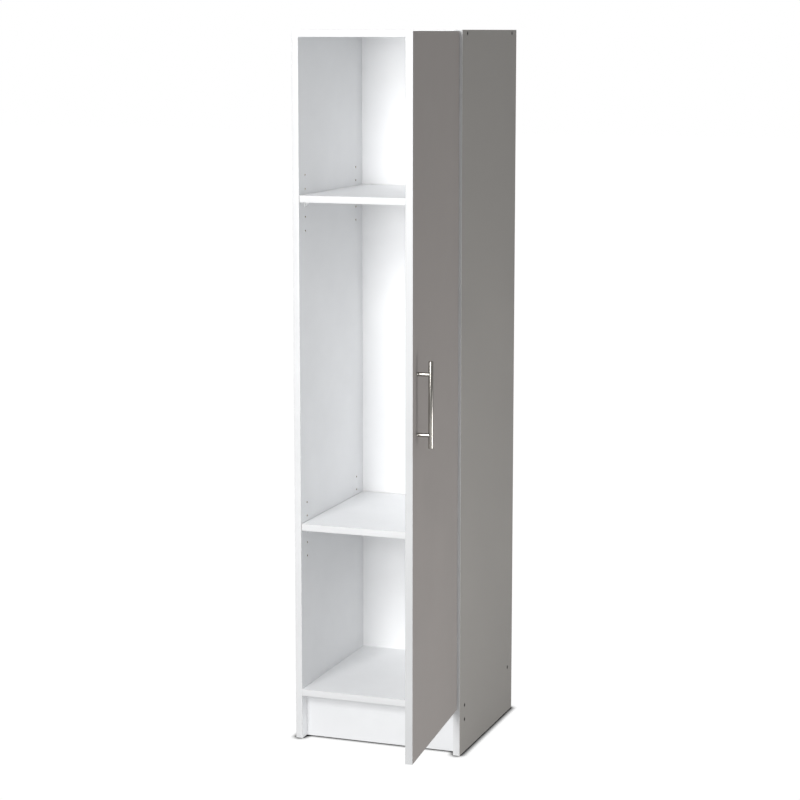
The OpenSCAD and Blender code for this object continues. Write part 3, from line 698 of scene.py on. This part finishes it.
board_places = [(x, back_high[1], np.mean(own_box(board), axis=0)[2])
                for x in (-board_x, board_x) for board in ("bottom_panel", "top_panel")]
piece("domed_back_nails", repeated(lathe(nail_profile, BACK, around=20), side_places + board_places),
      nail_steel, "carcass", ("back_nails",))

# ---- Plastic parts ----

white_plastic = moulded("white_moulded_plastic", (0.9, 0.905, 0.91), 0.18)
for node in ("upper_shelf_supports", "middle_shelf_supports"):
    finish_node(node, white_plastic, 0.25 * MM)

low, high = own_box("door_bumpers", DOOR_TURN)
bumper_r, bumper_h = (high[0] - low[0]) / 2, high[1] - low[1]
bumper_profile = np.concatenate([
    [[0.1 * MM, 0.0], [bumper_r, 0.0]],
    [[bumper_r * math.cos(t), bumper_h * math.sin(t) ** 0.6] for t in np.linspace(0.12, 1.54, 10)],
])
piece("domed_door_bumpers",
      repeated(lathe(bumper_profile, BACK, around=40),
               [((low[0] + high[0]) / 2, low[1], z) for z in (low[2] + bumper_r, high[2] - bumper_r)]),
      moulded("clear_bumper_plastic", (0.74, 0.75, 0.74), 0.16), "door",
      ("door_bumpers",), DOOR_TURN)

# ---- Studio ----

FLOOR_HALF = 30.0
FLOOR_Z = -0.2 * MM
CONTACT_SHADE = 18 * MM

floor_mesh = bpy.data.meshes.new("studio_floor")
floor_corners = [(x * FLOOR_HALF, y * FLOOR_HALF, FLOOR_Z) for x, y in ((-1, -1), (1, -1), (1, 1), (-1, 1))]
floor_mesh.from_pydata(floor_corners, [], [(0, 1, 2, 3)])
floor = bpy.data.objects.new("studio_floor", floor_mesh)
bpy.context.scene.collection.objects.link(floor)
paper, tree, shader = new_finish("studio_paper", Roughness=0.9, Specular_IOR_Level=0.1)
tone = spread(tree, noise(tree, own_vector(tree), 3.0), 0.0, 1.0, 0.54, 0.57)
tree.links.new(put(tree, "CombineColor", {0: tone, 1: tone, 2: tone}).outputs[0],
               shader.inputs["Base Color"])
# Painted shadow: the camera sees the floor as a glow, darkened by ambient occlusion into a contact shadow
# near the cabinet's foot. Other rays see the plain paper.
near = put(tree, "AmbientOcclusion", {"Distance": CONTACT_SHADE}, samples=16)
glow_with_painted_shadow = put(tree, "Emission", {"Color": near.outputs["Color"],
                             "Strength": spread(tree, near.outputs["AO"], 0.55, 0.97, 0.02, 1.02)})
seen = put(tree, "LightPath").outputs["Is Camera Ray"]
shown = put(tree, "MixShader", {0: seen, 1: shader.outputs[0], 2: glow_with_painted_shadow.outputs[0]})
tree.links.new(shown.outputs[0], next(n for n in tree.nodes if n.type == "OUTPUT_MATERIAL").inputs[0])
floor_mesh.materials.append(paper)

world = bpy.data.worlds.new("studio")
world.use_nodes = True
bpy.context.scene.world = world
sky = world.node_tree
background = sky.nodes["Background"]
seen = put(sky, "LightPath").outputs["Is Camera Ray"]
sky.links.new(spread(sky, seen, 0.0, 1.0, 0.43, 1.0), background.inputs["Strength"])
background.inputs["Color"].default_value = (1.0, 1.0, 1.0, 1.0)


def soft_light(name, place, aim, size, power):
    """A square area light that faces its aim."""
    light = bpy.data.lights.new(name, "AREA")
    light.shape = "SQUARE"
    light.size = size
    light.energy = power
    made = bpy.data.objects.new(name, light)
    made.location = place
    direction = np.asarray(aim) - np.asarray(place)
    flat = math.hypot(direction[0], direction[1])
    made.rotation_euler = (math.atan2(flat, -direction[2]), 0.0,
                           math.atan2(direction[1], direction[0]) - math.pi / 2)
    bpy.context.scene.collection.objects.link(made)


soft_light("high_front_light", (-0.4, -3.5, 3.0), (0.0, 0.0, 1.4), 1.4, 80.0)
soft_light("front_light", (-0.4, -4.6, 1.5), (0.0, 0.0, 1.0), 1.6, 108.0)
soft_light("low_side_light", (1.9, -0.2, 0.12), (0.2, 0.1, 0.05), 0.9, 22.0)

camera_data = bpy.data.cameras.new("camera")
camera_data.lens = 100.743
camera_data.sensor_width = 36.0
camera_data.shift_y = -0.03
camera = bpy.data.objects.new("camera", camera_data)
camera.location = (1.766, -4.742, 1.6466)
CAMERA_DIP, CAMERA_TURN = math.radians(8.742), math.radians(19.953)
camera.rotation_euler = (math.pi / 2 - CAMERA_DIP, 0.0, CAMERA_TURN)
bpy.context.scene.collection.objects.link(camera)
bpy.context.scene.camera = camera
bpy.context.scene.view_settings.view_transform = "Standard"
